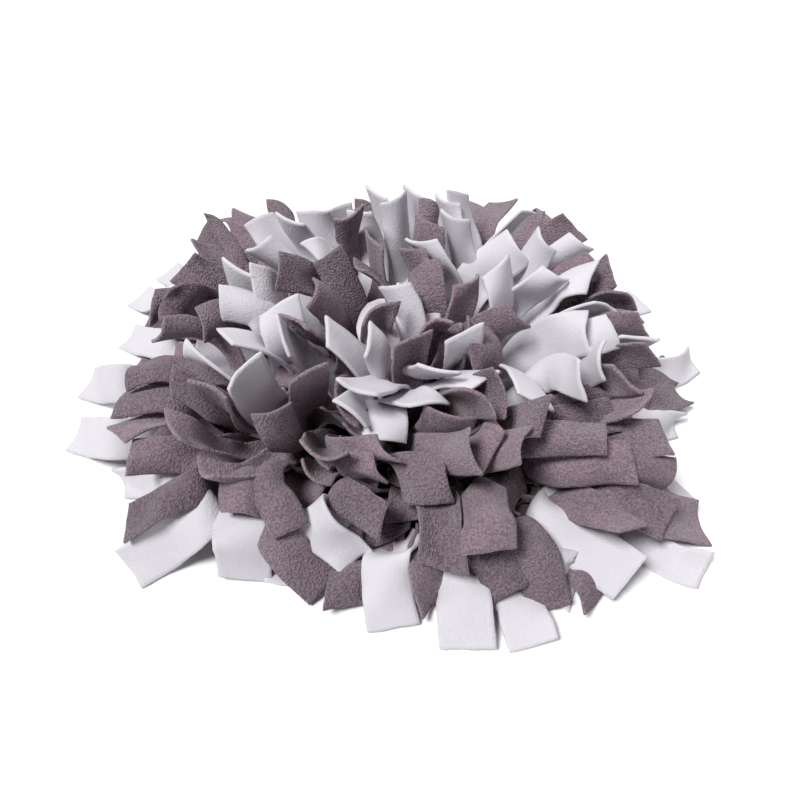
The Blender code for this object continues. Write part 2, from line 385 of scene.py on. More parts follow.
# How strongly a strip keeps to its own shape as it opens, settles and comes to rest.
KEEP = (0.05, 0.008, 0.0)
KEEP_SEEN = (0.35, 0.3, 0.2)  # the same at the tip of a tail that the camera sees
KEEP_RAMP = (-0.3, 1)  # how that grows from the root to the tip, where below nought is nought
BEND_ALONG = 0.35
BEND_ACROSS = 0.5
FAIR_KNOTS = 7  # the bends that a strip may take along its length
STIFF = 0.3  # how much of its smaller waves a strip loses in each step, and in the last
LAST_STIFF = 0.7
TINY = 1e-9  # added where a division by nought could be
TINIER = 1e-12

# The finished mesh: faces along and across each strip.
FINE_ALONG = 48
FINE_ACROSS = 14
CLOTH_THICK = 1.9 * MM  # less than the solids' thickness, which takes in the nap
EDGE_ROUND = 0.25  # how far the cut edge bulges, as a share of the thickness
SLANT_LENGTH = 0.25  # the share of the length that a slanted cut draws along
RAGGED = 0.2 * MM
RAGGED_BLEND = (0.25, 0.5, 0.5, 0.5, 0.25)  # how neighbours along the edge share their raggedness
NAP_UP = 0.5  # the share of the strips that have their pebbled face on one side, and not on the other
ABOVE_FLOOR = 0.1 * MM

CAMERA_FOCAL = 676  # pixels
CAMERA_LIFT = math.radians(50)
CAMERA_DISTANCE = 0.420
CAMERA_LOOKS_AT = Vector((0.004, -0.015, 0))
CAMERA_NEAR = 0.01
LOOKS_AT_PIXEL = (398, 417)
SENSOR = 36
RIGHT = np.array((1, 0, 0))
AHEAD = np.array((0, math.cos(CAMERA_LIFT), -math.sin(CAMERA_LIFT)))
UPWARD = np.array((0, math.sin(CAMERA_LIFT), math.cos(CAMERA_LIFT)))
EYE = np.array(CAMERA_LOOKS_AT) - CAMERA_DISTANCE * AHEAD

# Each light's kind, name, place, aim, size (the sun's in degrees, a lamp's in metres) and power.
LIGHTS = (
    ("SUN", "key", (-0.45, -0.25, 0.95), (0, 0, 0.03), 21, 3.4),
    ("AREA", "fill", (0.8, -0.3, 0.8), (0, 0, 0.03), 0.9, 2.0),
    ("AREA", "back", (0, 1.5, 1.5), (0, 1.3, 0), 1.6, 17),
)
SKY_LIGHT = 0.065  # its strength as a light
SKY_SEEN = (0.93, 0.93, 0.94, 1)  # its colour where the camera sees it
STAGE_HALF = 6.0
STAGE_COLOUR = (0.97, 0.97, 0.975, 1)
STAGE_ROUGH = 0.9

# Each fleece's darkest and lightest colour, how far pebbles tell in its colour, their relief, and its sheen.
Fleece = namedtuple("Fleece", "dark light pebble relief sheen")
FLEECE = {
    "white": Fleece((0.615, 0.588, 0.637, 1), (0.7, 0.671, 0.721, 1), 0.3, 0.35 * MM, 0.2),
    "grey": Fleece((0.092, 0.063, 0.082, 1), (0.385, 0.288, 0.337, 1), 0.45, 1.7 * MM, 0.25),
}
FLEECE_SHADER = {"Roughness": 0.95, "Sheen Roughness": 0.5, "Specular IOR Level": 0.15}
PEBBLES = {"Scale": 740}  # the textures' scales are for metres
FIBRES = {"Scale": 1100, "Detail": 2.0}
PATCHES = {"Scale": 70, "Detail": 3.0}
PEBBLE_DEPTH = -0.55  # how the grain falls off from the middle of a pebble
GRAIN_RANGE = (0.05, 0.45)
TINT_PLAY = 0.3  # from patch to patch, and from strip to strip
EDGE_PAINTED_HIGHLIGHT = 0.25  # painted highlight: how much lighter a cut edge is painted, where the nap would catch the light
SMOOTH_FACE = 0.55  # the share of the relief that a strip's smoother face has
FELT_COLOURS = {"A": (0.10, 0.085, 0.095, 1), "B": (0.17, 0.145, 0.16, 1)}
FELT_GRAIN = {"Scale": 900, "Detail": 4.0}
FELT_RELIEF = 0.4 * MM


def mix(low, high, share):
    return low + (high - low) * share


def smooth(share):
    share = np.clip(share, 0.0, 1.0)
    return share * share * (3 - 2 * share)


def unit(vectors):
    return vectors / (np.sqrt((vectors**2).sum(-1, keepdims=True)) + TINIER)


# ---- camera, floor and light


def add_camera():
    data = bpy.data.cameras.new("camera")
    data.sensor_width = SENSOR
    data.lens = SENSOR * CAMERA_FOCAL / PHOTO_SIDE
    data.shift_x = (PHOTO_SIDE / 2 - LOOKS_AT_PIXEL[0]) / PHOTO_SIDE
    data.shift_y = (LOOKS_AT_PIXEL[1] - PHOTO_SIDE / 2) / PHOTO_SIDE
    data.clip_start = CAMERA_NEAR
    camera = bpy.data.objects.new("camera", data)
    camera.location = CAMERA_LOOKS_AT - CAMERA_DISTANCE * Vector(AHEAD)
    camera.rotation_euler = Euler((math.pi / 2 - CAMERA_LIFT, 0, 0))
    bpy.context.scene.collection.objects.link(camera)
    bpy.context.scene.camera = camera


def in_view(points):
    """The pixels where points show, and how far ahead of the camera they are."""
    from_eye = points - EYE
    depth = from_eye @ AHEAD
    right = from_eye[..., 0] / depth * CAMERA_FOCAL + LOOKS_AT_PIXEL[0]
    down = LOOKS_AT_PIXEL[1] - from_eye @ UPWARD / depth * CAMERA_FOCAL
    return right, down, depth


def ray_through(pixel):
    """The direction from the camera through a pixel of the 800 by 800 frame."""
    right = pixel[0] - LOOKS_AT_PIXEL[0]
    down = pixel[1] - LOOKS_AT_PIXEL[1]
    return unit(AHEAD * CAMERA_FOCAL + RIGHT * right - UPWARD * down)


def add_light(kind, name, place, aim, size, power):
    data = bpy.data.lights.new(name, kind)
    data.energy = power
    if kind == "SUN":
        data.angle = math.radians(size)
    else:
        data.shape = "DISK"
        data.size = size
    light = bpy.data.objects.new(name, data)
    light.location = place
    light.rotation_euler = (Vector(aim) - Vector(place)).to_track_quat("-Z", "Y").to_euler()
    bpy.context.scene.collection.objects.link(light)


def set_inputs(node, inputs):
    """Gives each of these inputs of a node its value, or a link from the socket that feeds it."""
    for name, value in inputs.items():
        if isinstance(value, bpy.types.NodeSocket):
            node.id_data.links.new(value, node.inputs[name])
        else:
            node.inputs[name].default_value = value


def add_node(tree, kind, place, inputs, **settings):
    node = tree.nodes.new("ShaderNode" + kind)
    node.location = place
    for name, value in settings.items():
        setattr(node, name, value)
    set_inputs(node, inputs)
    return node


def new_material(name):
    """A new material, its nodes and its shader."""
    material = bpy.data.materials.new(name)
    material.use_nodes = True
    return material, material.node_tree, material.node_tree.nodes["Principled BSDF"]


def add_world():
    """A dim sky that lights the hollows softly, and a pale one for the eye beyond the floor."""
    world = bpy.data.worlds.new("studio")
    world.use_nodes = True
    tree = world.node_tree
    dim = tree.nodes["Background"]
    set_inputs(dim, {"Color": (1, 1, 1, 1), "Strength": SKY_LIGHT})
    pale = add_node(tree, "Background", (0, -200), {"Color": SKY_SEEN})
    path = add_node(tree, "LightPath", (-300, 300), {})
    skies = {"Fac": path.outputs["Is Camera Ray"], 1: dim.outputs[0], 2: pale.outputs[0]}
    both = add_node(tree, "MixShader", (300, 0), skies)
    set_inputs(tree.nodes["World Output"], {"Surface": both.outputs[0]})
    bpy.context.scene.world = world


def add_floor():
    mesh = bpy.data.meshes.new("floor")
    corners = [(x * STAGE_HALF, y * STAGE_HALF, 0) for x, y in ((-1, -1), (1, -1), (1, 1), (-1, 1))]
    mesh.from_pydata(corners, [], [(0, 1, 2, 3)])
    floor = bpy.data.objects.new("floor", mesh)
    bpy.context.scene.collection.objects.link(floor)
    material, _, shader = new_material("floor")
    set_inputs(shader, {"Base Color": STAGE_COLOUR, "Roughness": STAGE_ROUGH})
    mesh.materials.append(material)


def add_studio():
    add_world()
    for light in LIGHTS:
        add_light(*light)
    bpy.context.scene.view_settings.view_transform = "Standard"
    add_floor()


# ---- where the strips start


def rounded_path(half):
    """The straight runs and arcs of a row's rounded rectangle, anticlockwise from the right."""
    deep = half * DEPTH_SHARE
    corner = deep * mix(CORNER_SHARE_CENTRE, CORNER_SHARE_RIM, (half / BASE_HALF) ** 2)
    side = 2 * (deep - corner)
    end = 2 * (half - corner)
    middle = np.array((0, MIDDLE_SHIFT * (1 - half / BASE_HALF)))
    runs = []
    for quarter in range(4):
        angle = quarter * math.pi / 2
        turn = np.array(((math.cos(angle), -math.sin(angle)), (math.sin(angle), math.cos(angle))))
        out, along = (half, side) if quarter % 2 == 0 else (deep, end)
        start = middle + turn @ (out, -along / 2)
        centre = middle + turn @ (out - corner, along / 2)
        runs.append(("straight", along, start, angle))
        runs.append(("arc", corner * math.pi / 2, centre, angle))
    return runs, corner


def on_path(half, share):
    """The point and the outward direction at a share of the way round a row's path."""
    runs, corner = rounded_path(half)
    left = (share % 1.0) * sum(length for _, length, _, _ in runs)
    for kind, length, place, angle in runs:
        if left <= length:
            break
        left -= length
    if kind == "straight":
        out = np.array((math.cos(angle), math.sin(angle)))
        return place + np.array((-out[1], out[0])) * left, out
    angle += left / corner
    out = np.array((math.cos(angle), math.sin(angle)))
    return place + out * corner, out


def lean_share(share_out, back):
    """How much of the rim's lean a row has, on a side that faces back by this much: 1 behind, -1 in front."""
    shoulder = mix(SHOULDER_SIDE, SHOULDER_BACK if back > 0 else 0.0, abs(back))
    return share_out**LEAN_POWER - shoulder * share_out**3 * (1 - share_out)


def arc_course(length, lean_root, lean_tip, share):
    """Distance out, height above the band and lean along a strip that bends outwards evenly."""
    bend = lean_tip - lean_root
    bend = math.copysign(max(abs(bend), LEAST_BEND), bend)
    radius = length / bend
    lean = lean_root + bend * share
    out = radius * (math.cos(lean_root) - np.cos(lean))
    up = radius * (np.sin(lean) - math.sin(lean_root))
    return out, up, lean


def floor_course(length, share):
    """The same along a strip of the last row, which comes down to the floor and lies level on it."""
    out = (FLOOR_REACH + length - ROWS[-1].length * MM) * share
    left = np.maximum(0.0, 1 - out / FLOOR_LANDING)
    drop = BAND_TOP - FLOOR_CENTRE
    up = FLOOR_CENTRE - BAND_TOP + drop * left**2 * (1 + FLOOR_HUMP * (1 - left))
    slope = drop / FLOOR_LANDING * left * (FLOOR_HUMP * left - 2 * (1 + FLOOR_HUMP * (1 - left)))
    return out, up, math.pi / 2 - np.arctan(slope)


def curled(centre, across, inner, curl, width):
    """The points of a strip, ALONG by ACROSS, whose cross-sections curl towards inner."""
    spread = np.linspace(-1, 1, ACROSS)
    bend = np.where(np.abs(curl) < LEAST_BEND, LEAST_BEND, curl)[:, None]
    radius = width[:, None] / 2 / bend
    sideways = radius * np.sin(bend * spread)
    rise = radius * (1 - np.cos(bend * spread))
    rise -= rise.mean(1, keepdims=True)
    return centre[:, None] + across[:, None] * sideways[..., None] + inner[:, None] * rise[..., None]


def strip_grid(root, heading, course, roll, curl, width, shear):
    """The points of a strip, ALONG by ACROSS, on its course, turned by its roll and curled across."""
    out, up, lean = course
    ahead = np.array((math.cos(heading), math.sin(heading), 0.0))
    side = np.array((-ahead[1], ahead[0], 0.0))
    centre = np.array((*root, BAND_TOP)) + ahead * out[:, None]
    centre[:, 2] += up
    centre[:, 1] += shear * up
    run = ahead * np.sin(lean)[:, None] + np.array((0, 0, 1)) * np.cos(lean)[:, None]
    inner = np.cross(run, side)
    across = side * np.cos(roll)[:, None] + inner * np.sin(roll)[:, None]
    return curled(centre, across, np.cross(run, across), curl, width)


def in_front(root):
    return FRONT_FROM < math.atan2(root[1], root[0]) < FRONT_TO


def make_strip(row, share_round, dice):
    """A strip with its start shape, narrow and clear of the others, and its own shape, wide and uneven."""
    share = np.linspace(0, 1, ALONG)
    half = row.half * MM
    share_out = half / RIM_HALF
    on_floor = row is ROWS[-1]
    root, out = on_path(half, share_round)
    front = in_front(root)
    colour = row.front_colour if front else row.colour
    heading = math.atan2(out[1], out[0])
    late = lean_share(share_out, out[1])
    lean_root = math.radians(ROOT_LEAN + ROOT_LEAN_RIM * late)
    lean_tip = math.radians(TIP_LEAN + TIP_LEAN_RIM * late)
    length = row.length * MM - FRONT_SHORTER * max(0.0, -out[1]) * share_out
    length += dice.uniform(-LENGTH_PLAY, LENGTH_PLAY)
    plain = floor_course(length, share) if on_floor else arc_course(length, lean_root, lean_tip, share)
    level = np.zeros(ALONG)
    width = STRIP_WIDTH * dice.uniform(*CUT_WIDTH)
    wide = np.full(ALONG, width)
    start = strip_grid(root, heading, plain, level, level, wide * NARROW, MIDDLE_SHEAR * (1 - share_out))
    loose = LYING_ROLL if on_floor else 1.0
    root_play = math.radians(dice.uniform(-LEAN_PLAY, LEAN_PLAY))
    tip_play = math.radians(dice.uniform(-TIP_PLAY, TIP_PLAY))
    roll = math.radians(dice.uniform(-ROLL_PLAY, ROLL_PLAY)) * loose * smooth(share / ROLL_BY)
    turned = heading + math.radians(dice.uniform(-HEADING_PLAY, HEADING_PLAY))
    root_curl = math.radians(dice.uniform(*ROOT_CURL))
    low = mix(TIP_CURL_MIDDLE[0], TIP_CURL_RIM[0], share_out)
    high = mix(TIP_CURL_MIDDLE[1], TIP_CURL_RIM[1], share_out)
    tip_curl = math.radians(dice.uniform(low, high))
    curl = mix(root_curl, tip_curl, smooth(share / CURL_BY))
    if dice.random() < CURL_OUT_SHARE:
        curl = -curl
    lean_root += root_play
    lean_tip += tip_play
    own = plain if on_floor else arc_course(length, lean_root, lean_tip, share)
    strip = dict(
        row=row,
        colour=colour,
        share=share_round,
        root=np.array((*root, BAND_TOP)),
        out=np.array((*out, 0.0)),
        lean=lean_root,
        start=start,
        own=strip_grid(root, turned, own, roll, curl, wide, PILE_SHEAR * (1 - share_out)),
        length=length,
        width=width,
        seen=0.0,
        cut=dice.uniform(-CUT_PLAY, CUT_PLAY),
        tint=dice.random(),
        nap=dice.random(),
        tilt=dice.uniform(*SEEN_TILT) * (FRONT_TILT if front else 1.0),
        roll=math.radians(dice.uniform(-SEEN_ROLL, SEEN_ROLL)),
    )
    hollow = dice.uniform(*USUAL_HOLLOW[colour])
    strip["hollow"] = hollow if dice.random() < HOLLOW_SHARE else -hollow
    return strip


def make_strips():
    """Every row's strips, each row's half a place round from those before it."""
    strips = []
    for number, row in enumerate(ROWS):
        dice = random.Random(SEED * 100 + number)
        for i in range(row.count):
            strips.append(make_strip(row, (i + 0.5 * (number % 2)) / row.count, dice))
    return strips


# ---- where the tails lie that the camera sees


def dome_height(places):
    """The height of the tails' ends over places on the floor."""
    across, back = np.abs(places[..., 0] - DOME_MIDDLE[0]), places[..., 1] - DOME_MIDDLE[1]
    reach = np.where(back > 0, DOME_BACK, DOME_FRONT)
    turned = np.maximum(-back, 0) / np.sqrt(back**2 + across**2 + TINY)
    shoulder = mix(DOME_SHOULDER, DOME_SHOULDER_FRONT, turned)
    far = ((across / DOME_SIDE) ** DOME_ROUND + (np.abs(back) / reach) ** DOME_ROUND) ** (1 / DOME_ROUND)
    return (DOME_HEIGHT + DOME_SLOPE * places[..., 1]) * (1 - far**shoulder)


def on_dome(pixel, height):
    """The place on a pixel's ray at a height, or where it meets the dome, raised to what BACK_HEIGHT asks."""
    ray = ray_through(pixel)
    if height is not None:
        return EYE + ray * (height - EYE[2]) / ray[2]
    for distance in RAY_PLACES:
        place = EYE + ray * distance
        if place[2] < max(dome_height(place), FLOOR):
            break
    least = BACK_HEIGHT * smooth((place[1] - BACK_FROM) / BACK_FROM)
    return place if place[2] > least else EYE + ray * (least - EYE[2]) / ray[2]


def through_points(root, setting_out, low, tip):
    """Even points on a curve from the root by the low point to the tip, its length, and where it is low."""
    turning = unit(unit(low - root) + unit(tip - low))
    t = np.linspace(0, 1, CURVE_POINTS)[:, None]
    parts = []
    halves = ((root, setting_out, low, turning), (low, turning, tip, unit(tip - low)))
    for first, leaving, last, arriving in halves:
        reach = np.linalg.norm(last - first)
        parts.append(
            (2 * t**3 - 3 * t**2 + 1) * first
            + (t**3 - 2 * t**2 + t) * leaving * reach
            + (3 * t**2 - 2 * t**3) * last
            + (t**3 - t**2) * arriving * reach
        )
    line = np.concatenate([parts[0], parts[1][1:]])
    gone = np.concatenate([[0], np.cumsum(np.sqrt((np.diff(line, axis=0) ** 2).sum(1)))])
    even = np.linspace(0, gone[-1], ALONG)
    points = np.stack([np.interp(even, gone, line[:, axis]) for axis in range(3)], 1)
    return points, gone[-1], gone[len(parts[0]) - 1] / gone[-1]


def low_place(tail, root, tip):
    """The place of a tail's low point: as near under the dome as the longest strip lets it be."""
    ray = ray_through(tail.low)
    top = on_dome(tail.low, None)
    lengths = []
    places = []
    for sunk in LOW_SINKS:
        place = top + ray * sunk
        place[2] = max(place[2], FLOOR)
        places.append(place)
        lengths.append(np.linalg.norm(place - root) + np.linalg.norm(tip - place))
        if lengths[-1] < LONGEST * LOW_REACH:
            break
    return places[int(np.argmin(lengths))]


def within_reach(tip, ray, root):
    """The tip, or as near to it as the longest strip reaches, on the tip's ray where it can."""
    most = MOST_REACH * LONGEST
    if np.linalg.norm(tip - root) <= most:
        return tip
    nearest = EYE + ray * ((root - EYE) @ ray)
    aside = np.linalg.norm(nearest - root)
    if aside >= most:
        return root + (nearest - root) * most / aside
    slide = math.sqrt(most**2 - aside**2)
    return nearest + ray * math.copysign(slide, (tip - nearest) @ ray)


def cut_end(tail, tip, ray, arriving, bend):
    """A strip's width, the direction across its cut end, and how the cut slants, as its corners show them."""
    edge = ray_through(tail.other) - ray_through(tail.corner)
    edge -= ray * (edge @ ray)
    flattened = math.sin(bend) / bend
    wide = np.linalg.norm(edge) * ((tip - EYE) @ ray)
    width = np.clip(wide / flattened, STRIP_WIDTH * CUT_WIDTH[0], STRIP_WIDTH * CUT_WIDTH[1])
    shown = min(1.0, wide / flattened / width)
    hidden = math.sqrt(1 - shown**2)
    choices = [unit(edge) * shown + ray * hidden * sign for sign in (-1, 1)]
    across = min(choices, key=lambda choice: abs(choice @ arriving))
    across = unit(across - CUT_SQUARED * arriving * (across @ arriving))
    arriving = unit(arriving - across * (across @ arriving))
    return width, across, unit(edge) @ arriving / (unit(edge) @ across)


def seen_shape(strip, tail):
    """A strip's shape where its cut end and its run show as a tail's points say."""
    root = strip["root"]
    middle = (np.array(tail.corner) + tail.other) / 2
    ray = ray_through(middle)
    tilt = strip["tilt"] if tail.height is None else 0.0
    tip = within_reach(on_dome(middle, tail.height) - ray * tilt, ray, root)
    low = low_place(tail, root, tip)
    low = low + ray_through(tail.low) * min(tilt, max(0.0, low[2] - FLOOR))
    hollow = strip["hollow"] if tail.hollow is None else tail.hollow
    bend = math.radians(abs(hollow)) + LEAST_BEND
    strip["width"], across, slanted = cut_end(tail, tip, ray, unit(tip - low), bend)
    setting_out = unit(strip["out"] * math.sin(strip["lean"]) + np.array((0, 0, math.cos(strip["lean"]))))
    setting_out = unit(setting_out + unit(low - root))
    line, length, strip["shows_from"] = through_points(root, setting_out, low, tip)
    strip["length"] = np.clip(length, USUAL_LENGTH * LENGTH_RANGE[0], LONGEST)
    side = np.cross((0, 0, 1), strip["out"])
    if side @ across < 0:
        across = -across
        slanted = -slanted
    strip["cut"] = np.clip(slanted, -MOST_SLANT, MOST_SLANT)
    share = np.linspace(0, 1, ALONG)[:, None]
    run = unit(np.gradient(line, axis=0))
    spread = mix(side, across, smooth(share / ACROSS_BY))
    spread = unit(spread - run * (spread * run).sum(1, keepdims=True))
    roll = strip["roll"] * np.sin(math.pi * share)
    spread = spread * np.cos(roll) + np.cross(run, spread) * np.sin(roll)
    inner = np.cross(run, spread)
    towards = np.sign((inner[-1] @ (EYE - tip)) * hollow) or 1.0
    opened = smooth(share[:, 0] / (OPENED_BY[tail.colour] if tail.height is None else OPENED_BY_LYING))
    curl = mix(math.radians(SEEN_ROOT_CURL), bend, opened) * towards
    return curled(line, spread, inner, curl, np.full(ALONG, strip["width"]))


def shorten(grid, share):
    """The first share of a strip's grid, stretched over all of its rows of points."""
    at = np.arange(ALONG) * share
    low = np.minimum(at.astype(int), ALONG - 2)
    part = (at - low)[:, None, None]
    return grid[low] * (1 - part) + grid[low + 1] * part


def pair_up(costs):
    """The column that each row gets, with swaps and moves made until none lowers the sum of the costs."""
    rows = np.arange(len(costs))
    chosen = rows.copy()
    owner = np.full(costs.shape[1], -1)
    owner[chosen] = rows
    changed = True
    while changed:
        changed = False
        for row in rows:
            now = chosen[row]
            others = np.where(owner >= 0, costs[owner, chosen[owner]] - costs[owner, now], 0)
            gain = costs[row, now] - costs[row] + others
            gain[now] = 0
            best = int(np.argmax(gain))
            if gain[best] > LEAST_GAIN:
                other = owner[best]
                chosen[row], owner[best], owner[now] = best, row, other
                if other >= 0:
                    chosen[other] = now
                changed = True
    return chosen


def hide_strip(strip):
    """Shortens a strip that the camera doesn't see and keeps it low, less and less towards the back."""
    back = strip["out"][1]
    share = mix(*HIDDEN_SHARE, smooth(HIDDEN_TURN - back))
    if strip["row"] is ROWS[-1]:
        share = mix(HIDDEN_FRINGE, 1.0, smooth(FRINGE_TURN[0] * back + FRINGE_TURN[1]))
    strip["tuck"] = np.full(ALONG, mix(NO_TUCK, TUCK, smooth(TUCK_TURN - TUCK_TURN * back)))
    strip["length"] *= share
    strip["own"] = shorten(strip["own"], share)
    strip["start"] = shorten(strip["start"], share)


def place_tails(strips):
    """Gives each tail that the camera sees a strip of its colour and level whose own end is near."""
    ends = np.array([strip["own"][-1].mean(0) for strip in strips])
    tips = np.array([on_dome((np.array(tail.corner) + tail.other) / 2, tail.height) for tail in TAILS])
    gaps = np.linalg.norm(tips[:, None] - ends[None], axis=2)
    for t, tail in enumerate(TAILS):
        lying = tail.colour == "white" and tail.height is not None
        for k, strip in enumerate(strips):
            if strip["colour"] != tail.colour:
                gaps[t, k] += OTHER_COLOUR
            elif lying != (strip["row"] is ROWS[-1]):
                gaps[t, k] += OTHER_LEVEL
    for tail, k in zip(TAILS, pair_up(gaps**2)):
        strip = strips[k]
        strip["own"] = seen_shape(strip, tail)
        strip["seen"] = 1.0
        under = smooth((strip["shows_from"] - TUCK_BELOW - np.linspace(0, 1, ALONG)) / TUCK_OVER)
        strip["tuck"] = mix(NO_TUCK, TUCK_SEEN, under)
    for strip in strips:
        if not strip["seen"]:
            hide_strip(strip)


def view_order(strips):
    """For each cell of the view, the tail that shows there and how far ahead of the camera it lies."""
    owners = np.full((CELLS, CELLS), -1)
    depths = np.zeros((CELLS, CELLS))
    found = []
    across = spline_rows(ACROSS, VIEW_ACROSS + 1)[VIEW_EDGE:-VIEW_EDGE]
    for k, strip in enumerate(strips):
        if strip["seen"]:
            along = spline_rows(ALONG, VIEW_ALONG + 1)[int(VIEW_ALONG * strip["shows_from"]) :]
            right, down, depth = in_view(np.einsum("av,vuc,bu->abc", along, strip["own"], across))
            owner = np.full(depth.shape, k)
            found.append(np.stack([down // CELL, right // CELL, depth, owner], -1).reshape(-1, 4))
    found = np.concatenate(found)
    found = found[np.argsort(-found[:, 2])]
    place = np.clip(found[:, :2].astype(int), 0, CELLS - 1)
    owners[place[:, 0], place[:, 1]] = found[:, 3]
    depths[place[:, 0], place[:, 1]] = found[:, 2]
    return owners, depths


# ---- the cloth solver


def close_pairs(points, owner, reach):
    """Pairs of points of different strips that are nearer than reach, found by sorting them into cells."""
    cell = np.floor(points / reach).astype(np.int64)
    cell -= cell.min(0) - 1
    size = cell.max(0) + 2
    key = (cell[:, 0] * size[1] + cell[:, 1]) * size[2] + cell[:, 2]
    order = np.argsort(key, kind="stable")
    ordered = key[order]
    firsts, seconds = [], []
    for dx, dy in ((0, 0), (0, 1), (1, -1), (1, 0), (1, 1)):
        middle = key + (dx * size[1] + dy) * size[2]
        low = np.searchsorted(ordered, middle - 1, "left")
        high = np.searchsorted(ordered, middle + 1, "right")
        count = high - low
        first = np.repeat(np.arange(len(points)), count)
        place = np.arange(count.sum()) - np.repeat(np.cumsum(count) - count, count) + np.repeat(low, count)
        second = order[place]
        wanted = owner[first] != owner[second]
        if dx == dy == 0:
            wanted &= first < second
        firsts.append(first[wanted])
        seconds.append(second[wanted])
    first, second = np.concatenate(firsts), np.concatenate(seconds)
    near = ((points[first] - points[second]) ** 2).sum(1) < reach**2
    return first[near], second[near]


def keep_order(points, free, owner, order):
    """Moves points away from the camera that cover another strip's tail."""
    right, down, depth = in_view(points)
    row = np.clip(down // CELL, 0, CELLS - 1).astype(int)
    column = np.clip(right // CELL, 0, CELLS - 1).astype(int)
    short = order[1][row, column] + BEHIND - depth
    covers = (order[0][row, column] >= 0) & (order[0][row, column] != owner) & (short > 0)
    points += unit(points - EYE) * (np.clip(short, 0, MOST_PUSH) * covers * free)[:, None]


def push_apart(points, free, first, second):
    """Moves points that are too near each other apart."""
    gap = points[second] - points[first]
    distance = np.sqrt((gap**2).sum(1)) + TINY
    short = APART - distance
    tight = short > 0
    first, second, gap, short = first[tight], second[tight], gap[tight], (short / distance)[tight]
    weight = free[first] + free[second] + TINY
    step = gap * (short * 0.5 / weight)[:, None]
    move = np.zeros_like(points)
    for axis in range(3):
        move[:, axis] -= np.bincount(first, step[:, axis] * free[first], len(points))
        move[:, axis] += np.bincount(second, step[:, axis] * free[second], len(points))
    size = np.sqrt((move**2).sum(1)) + TINIER
    points += move * np.minimum(1.0, MOST_PUSH / size)[:, None]


def hold_length(grid, free, first, second, rest, stiffness):
    """Brings two sets of points of every strip to their distance. Each set is a pair of index arrays."""
    a = grid[:, first[0], first[1]]
    b = grid[:, second[0], second[1]]
    gap = b - a
    distance = np.sqrt((gap**2).sum(-1)) + TINY
    free_a, free_b = free[first[0]][None], free[second[0]][None]
    share = stiffness * (distance - rest) / distance / (free_a + free_b + TINY)
    grid[:, first[0], first[1]] = a + gap * (share * free_a)[..., None]
    grid[:, second[0], second[1]] = b - gap * (share * free_b)[..., None]


def link_sets():
    """The solver's links: (kind, first points, second points), in sets whose points are all different."""
    links = []

    def add(kind, v_from, dv, du, u_from):
        v, u = np.meshgrid(v_from, u_from, indexing="ij")
        links.append((kind, (v.ravel(), u.ravel()), ((v + dv).ravel(), (u + du).ravel())))

    every_v, every_u = np.arange(ALONG), np.arange(ACROSS)
    for odd in (0, 1):
        add("along", np.arange(odd, ALONG - 1, 2), 1, 0, every_u)
        add("across", every_v, 0, 1, np.arange(odd, ACROSS - 1, 2))
        add("shear", np.arange(odd, ALONG - 1, 2), 1, 1, every_u[:-1])
        add("shear", np.arange(odd, ALONG - 1, 2), 1, -1, every_u[1:])
        v_two = np.array([v for v in range(ALONG - 2) if (v % 4 >= 2) == bool(odd)])
        add("bend_along", v_two, 2, 0, every_u)
        u_two = np.array([u for u in range(ACROSS - 2) if (u % 4 >= 2) == bool(odd)])
        add("bend_across", every_v, 0, 2, u_two)
    return links


def spline_rows(points_in, points_out):
    """The matrix that reads a uniform cubic spline through soft control points, ends kept."""
    rows = np.zeros((points_out, points_in))
    for k, at in enumerate(np.linspace(0, points_in - 1, points_out)):
        i = min(int(at), points_in - 2)
        t = at - i
        weights = ((1 - t) ** 3, 3 * t**3 - 6 * t**2 + 4, -3 * t**3 + 3 * t**2 + 3 * t + 1, t**3)
        for offset, weight in zip((-1, 0, 1, 2), weights):
            j = i + offset
            if j < 0:
                rows[k, 0] += 2 * weight / 6
                rows[k, 1] -= weight / 6
            elif j >= points_in:
                rows[k, -1] += 2 * weight / 6
                rows[k, -2] -= weight / 6
            else:
                rows[k, j] += weight / 6
    return rows


def fairing():
    """Two matrices that take the small waves out of a strip's grid: along it, and across it."""
    knots = spline_rows(FAIR_KNOTS, ALONG)
    along = knots @ np.linalg.pinv(knots)
    curve = np.vander(np.linspace(-1, 1, ACROSS), 3)
    return along, curve @ np.linalg.pinv(curve)


def distances(grid, first, second):
    return np.sqrt(((grid[:, second[0], second[1]] - grid[:, first[0], first[1]]) ** 2).sum(-1))


def on_base(points):
    """Whether a point is over the felt base, taken as its rounded rectangle."""
    corner = BASE_HALF * DEPTH_SHARE * CORNER_SHARE_RIM
    inner = np.array((BASE_HALF - corner, BASE_HALF * DEPTH_SHARE - corner))
    over = np.maximum(np.abs(points[:, :2]) - inner, 0)
    return (over**2).sum(1) < (corner + STRIP_THICK) ** 2


def hold_links(grid, free, links, own_gaps, rests, width):
    """Brings every link to its length. Links that bend across grow with the strips' width."""
    for (kind, first, second), own_gap in zip(links, own_gaps):
        if kind == "bend_across":
            hold_length(grid, free, first, second, own_gap * width, BEND_ACROSS)
        elif kind == "bend_along":
            hold_length(grid, free, first, second, own_gap, BEND_ALONG)
        else:
            hold_length(grid, free, first, second, rests[kind], 1.0)


def keep_in_pile(points, free, tuck):
    """Keeps points above the floor and the base, and draws them down that rise too far under the dome."""
    lowest = np.where(on_base(points), BAND_TOP, FLOOR_CENTRE)
    height = np.maximum(points[:, 2], lowest)
    over = np.maximum(height - np.maximum(dome_height(points) - tuck, LOW_TAILS), 0)
    height -= np.minimum(over * TUCK_SHARE, MOST_PUSH)
    points[:, 2] = np.where(free > 0, height, points[:, 2])


def gathered(strips, key):
    return np.array([strip[key] for strip in strips])


